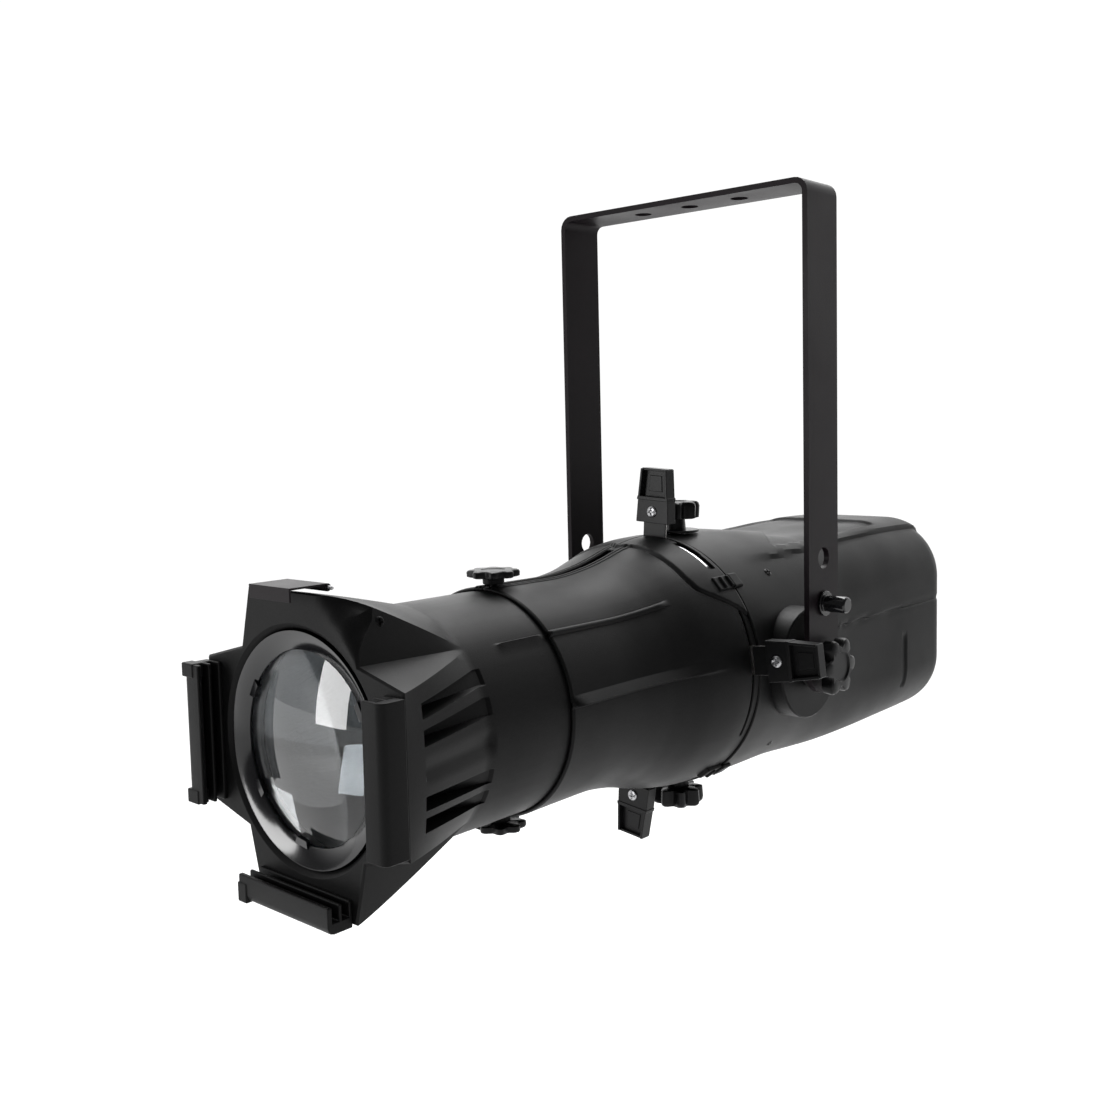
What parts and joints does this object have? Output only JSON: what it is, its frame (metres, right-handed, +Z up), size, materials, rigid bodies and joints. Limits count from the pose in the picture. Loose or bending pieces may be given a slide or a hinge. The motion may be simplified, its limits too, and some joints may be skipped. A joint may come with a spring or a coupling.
{
  "type": "ellipsoidal spotlight",
  "caption": "Profile spotlight hanging in a U-yoke: tilting lamp housing, rotating barrel with framing shutters, and a sliding lens tube with colour-frame channels.",
  "frame": {"origin": "centre of the middle clamp hole, on the yoke's top face", "axes": "+Z up, out of the clamp face; the light leaves along -Y and the rear panel is at +Y; +X is on the right as seen from the front"},
  "size_m": [0.2829, 0.643, 0.4689],
  "materials": {
    "yoke_steel": "satin black powder coat",
    "zinc_steel": "zinc-plated",
    "blade_steel": "rolled stainless sheet",
    "cast_aluminium": "die-cast, fine-textured black paint",
    "bare_aluminium": "bare extruded",
    "black_plastic": "moulded, satin",
    "reflector_mirror": "polished",
    "lens_glass": "optically clear",
    "circuit_board": "fibreglass board with solder mask",
    "display_glass": "dark tinted window",
    "rubber": "matt"
  },
  "bodies": {
    "yoke": {"yoke": "yoke_steel", "friction_spacer_left": "rubber", "friction_spacer_right": "rubber"},
    "arm_screw_left": {"arm_screw_left": "yoke_steel"},
    "arm_screw_right": {"arm_screw_right": "yoke_steel"},
    "housing": {"housing_upper_shell": "cast_aluminium", "housing_lower_shell": "cast_aluminium", "pivot_boss_left": "cast_aluminium", "pivot_boss_right": "cast_aluminium", "pivot_bolt_left": "zinc_steel", "pivot_bolt_right": "zinc_steel", "front_bulkhead": "zinc_steel", "ellipsoidal_reflector": "reflector_mirror", "led_module": "circuit_board", "heatsink": "bare_aluminium", "fan_frame": "black_plastic", "driver_module": "bare_aluminium", "control_board": "circuit_board", "rear_panel": "cast_aluminium", "display_window": "display_glass", "data_in_socket": "black_plastic", "data_out_socket": "black_plastic", "power_inlet": "black_plastic", "fuse_holder": "black_plastic"},
    "fan_rotor": {"fan_rotor": "black_plastic"},
    "tilt_lock_knob_left": {"tilt_lock_knob_left": "black_plastic"},
    "tilt_lock_knob_right": {"tilt_lock_knob_right": "black_plastic"},
    "rotation_lock_knob_top": {"rotation_lock_knob_top": "black_plastic"},
    "rotation_lock_knob_bottom": {"rotation_lock_knob_bottom": "black_plastic"},
    "menu_button_1": {"menu_button_1": "rubber"},
    "menu_button_2": {"menu_button_2": "rubber"},
    "menu_button_3": {"menu_button_3": "rubber"},
    "menu_button_4": {"menu_button_4": "rubber"},
    "barrel": {"barrel_left_shell": "cast_aluminium", "barrel_right_shell": "cast_aluminium", "gate_ring": "bare_aluminium"},
    "shutter_guide_left": {"shutter_guide_left": "blade_steel"},
    "shutter_left": {"shutter_blade_left": "blade_steel", "shutter_grip_left": "black_plastic"},
    "shutter_guide_bottom": {"shutter_guide_bottom": "blade_steel"},
    "shutter_bottom": {"shutter_blade_bottom": "blade_steel", "shutter_grip_bottom": "black_plastic"},
    "shutter_guide_right": {"shutter_guide_right": "blade_steel"},
    "shutter_right": {"shutter_blade_right": "blade_steel", "shutter_grip_right": "black_plastic"},
    "shutter_guide_top": {"shutter_guide_top": "blade_steel"},
    "shutter_top": {"shutter_blade_top": "blade_steel", "shutter_grip_top": "black_plastic"},
    "lens_tube": {"lens_tube": "cast_aluminium", "front_lens": "lens_glass", "rear_lens": "lens_glass", "lens_retaining_ring": "black_plastic", "lens_spacer": "bare_aluminium", "frame_channel_left": "cast_aluminium", "frame_channel_right": "cast_aluminium", "frame_channel_bottom": "cast_aluminium", "latch_pin": "zinc_steel"},
    "frame_latch": {"frame_latch": "yoke_steel"},
    "focus_knob_top": {"focus_knob_top": "black_plastic"},
    "focus_knob_bottom": {"focus_knob_bottom": "black_plastic"}
  },
  "joints": [
    {"name": "tilt", "type": "hinge", "parent": "yoke", "child": "housing", "pos_m": [0, 0, -0.3355], "axis": [1, 0, 0], "range_deg": [-30, 135]},
    {"name": "arm_screw_left_turn", "type": "hinge", "parent": "yoke", "child": "arm_screw_left", "pos_m": [-0.12, 0, -0.292], "axis": [-1, 0, 0], "continuous": true},
    {"name": "arm_screw_right_turn", "type": "hinge", "parent": "yoke", "child": "arm_screw_right", "pos_m": [0.12, 0, -0.292], "axis": [1, 0, 0], "continuous": true},
    {"name": "tilt_lock_knob_left_turn", "type": "hinge", "parent": "housing", "child": "tilt_lock_knob_left", "pos_m": [-0.12, 0, -0.3355], "axis": [-1, 0, 0], "continuous": true},
    {"name": "tilt_lock_knob_right_turn", "type": "hinge", "parent": "housing", "child": "tilt_lock_knob_right", "pos_m": [0.12, 0, -0.3355], "axis": [1, 0, 0], "continuous": true},
    {"name": "rotation_lock_knob_top_turn", "type": "hinge", "parent": "housing", "child": "rotation_lock_knob_top", "pos_m": [0, -0.0255, -0.2355], "axis": [0, 0, 1], "continuous": true},
    {"name": "rotation_lock_knob_bottom_turn", "type": "hinge", "parent": "housing", "child": "rotation_lock_knob_bottom", "pos_m": [0, -0.0255, -0.4355], "axis": [0, 0, -1], "continuous": true},
    {"name": "fan_spin", "type": "hinge", "parent": "housing", "child": "fan_rotor", "pos_m": [0, 0.151, -0.3355], "axis": [0, 1, 0], "continuous": true},
    {"name": "menu_button_1_press", "type": "slide", "parent": "housing", "child": "menu_button_1", "axis": [0, -1, 0], "range_m": [0, 0.0015], "stiffness_N_per_m": 300},
    {"name": "menu_button_2_press", "type": "slide", "parent": "housing", "child": "menu_button_2", "axis": [0, -1, 0], "range_m": [0, 0.0015], "stiffness_N_per_m": 300},
    {"name": "menu_button_3_press", "type": "slide", "parent": "housing", "child": "menu_button_3", "axis": [0, -1, 0], "range_m": [0, 0.0015], "stiffness_N_per_m": 300},
    {"name": "menu_button_4_press", "type": "slide", "parent": "housing", "child": "menu_button_4", "axis": [0, -1, 0], "range_m": [0, 0.0015], "stiffness_N_per_m": 300},
    {"name": "barrel_rotation", "type": "hinge", "parent": "housing", "child": "barrel", "pos_m": [0, -0.0355, -0.3355], "axis": [0, 1, 0], "range_deg": [-25, 25]},
    {"name": "shutter_left_angle", "type": "hinge", "parent": "barrel", "child": "shutter_guide_left", "pos_m": [0, -0.0637, -0.3355], "axis": [0, 1, 0], "range_deg": [-22, 22]},
    {"name": "shutter_left_slide", "type": "slide", "parent": "shutter_guide_left", "child": "shutter_left", "axis": [-1, 0, 0], "range_m": [-0.007, 0.034]},
    {"name": "shutter_bottom_angle", "type": "hinge", "parent": "barrel", "child": "shutter_guide_bottom", "pos_m": [0, -0.0637, -0.3355], "axis": [0, 1, 0], "range_deg": [-28.5, 15.5]},
    {"name": "shutter_bottom_slide", "type": "slide", "parent": "shutter_guide_bottom", "child": "shutter_bottom", "axis": [-0.1132, 0, -0.9936], "range_m": [0, 0.041]},
    {"name": "shutter_right_angle", "type": "hinge", "parent": "barrel", "child": "shutter_guide_right", "pos_m": [0, -0.0637, -0.3355], "axis": [0, 1, 0], "range_deg": [-15.7, 28.3]},
    {"name": "shutter_right_slide", "type": "slide", "parent": "shutter_guide_right", "child": "shutter_right", "axis": [0.994, 0, 0.1097], "range_m": [-0.0095, 0.0315]},
    {"name": "shutter_top_angle", "type": "hinge", "parent": "barrel", "child": "shutter_guide_top", "pos_m": [0, -0.0637, -0.3355], "axis": [0, 1, 0], "range_deg": [-25.7, 18.3]},
    {"name": "shutter_top_slide", "type": "slide", "parent": "shutter_guide_top", "child": "shutter_top", "axis": [0.0645, 0, 0.9979], "range_m": [-0.007, 0.034]},
    {"name": "focus", "type": "slide", "parent": "barrel", "child": "lens_tube", "axis": [0, 1, 0], "range_m": [0, 0.058]},
    {"name": "frame_latch_swing", "type": "hinge", "parent": "lens_tube", "child": "frame_latch", "pos_m": [0, -0.3585, -0.246], "axis": [-1, 0, 0], "range_deg": [0, 100]},
    {"name": "focus_knob_top_turn", "type": "hinge", "parent": "lens_tube", "child": "focus_knob_top", "pos_m": [0, -0.2165, -0.258], "axis": [0, 0, 1], "continuous": true},
    {"name": "focus_knob_bottom_turn", "type": "hinge", "parent": "lens_tube", "child": "focus_knob_bottom", "pos_m": [0, -0.2165, -0.413], "axis": [0, 0, -1], "continuous": true}
  ]
}
